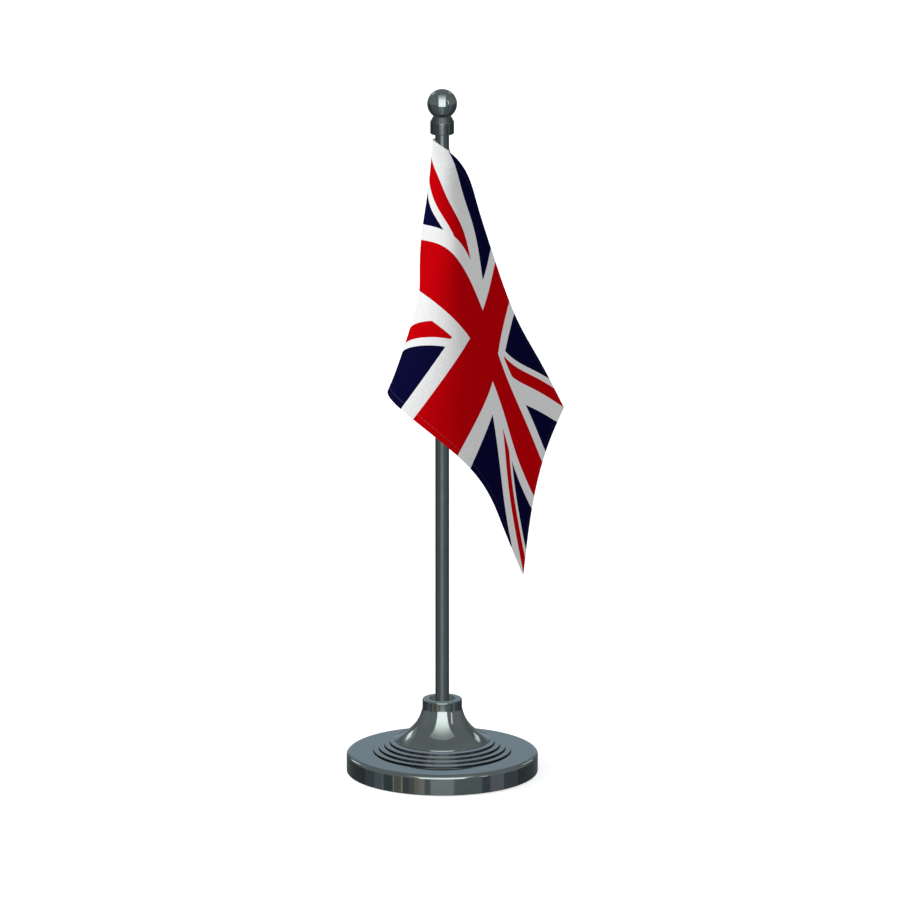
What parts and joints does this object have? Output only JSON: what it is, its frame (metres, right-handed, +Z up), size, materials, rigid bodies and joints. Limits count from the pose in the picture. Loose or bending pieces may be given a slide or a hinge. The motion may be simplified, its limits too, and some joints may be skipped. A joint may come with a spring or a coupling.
{
  "type": "desk flag stand",
  "caption": "Table flag stand: stepped round weighted base, flared neck, slim pole with a ball finial, and one small hanging flag.",
  "frame": {"origin": "on the desk, on the pole's axis, at the centre of the base pad's underside", "axes": "+Z up the pole, +X to the viewer's right, +Y away from the viewer"},
  "size_m": [0.1253, 0.1628, 0.4007],
  "materials": {
    "gunmetal_base": "bright dark nickel",
    "gunmetal_neck": "bright dark nickel",
    "gunmetal_pole": "bright dark nickel",
    "gunmetal_finial": "bright dark nickel",
    "cast_iron": "as cast",
    "plated_steel": "zinc plated",
    "brass": "turned",
    "felt": "felt",
    "nylon": "moulded",
    "rubber": "translucent",
    "satin": "printed satin in red, white and navy"
  },
  "bodies": {
    "base": {"base_cover": "gunmetal_base", "base_weight": "cast_iron", "base_plate": "plated_steel", "base_pad": "felt", "neck": "gunmetal_neck", "clamp_bolt": "plated_steel", "clamp_washer": "plated_steel", "clamp_lock_washer": "plated_steel"},
    "liner": {"socket_liner": "nylon"},
    "pole": {"pole_tube": "gunmetal_pole", "pole_foot_plug": "nylon", "pole_top_insert": "brass"},
    "stud": {"finial_stud": "plated_steel"},
    "finial": {"finial_collar": "gunmetal_finial", "finial_ball": "gunmetal_finial"},
    "ring": {"flag_stop_ring": "rubber"},
    "flag": {"flag_sleeve": "satin", "flag_cloth": "satin"}
  },
  "joints": [
    {"name": "pole_turn", "type": "hinge", "parent": "base", "child": "liner", "pos_m": [0, 0, 0.019], "axis": [0, 0, 1], "continuous": true},
    {"name": "pole_lift", "type": "slide", "parent": "liner", "child": "pole", "axis": [0, 0, 1], "range_m": [0, 0.026]},
    {"name": "finial_rise", "type": "slide", "parent": "pole", "child": "stud", "axis": [0, 0, 1], "range_m": [0, 0.0049]},
    {"name": "finial_turn", "type": "hinge", "parent": "stud", "child": "finial", "pos_m": [0, 0, 0.385], "axis": [0, 0, 1], "range_deg": [0, 2520]},
    {"name": "ring_slide", "type": "slide", "parent": "pole", "child": "ring", "axis": [0, 0, 1], "range_m": [-0.08, 0]},
    {"name": "flag_turn", "type": "hinge", "parent": "ring", "child": "flag", "pos_m": [0, 0, 0.232], "axis": [0, 0, 1], "continuous": true}
  ],
  "couplings": [
    {"joint": "finial_turn", "follows": "finial_rise", "rad_per_m": 8976}
  ]
}
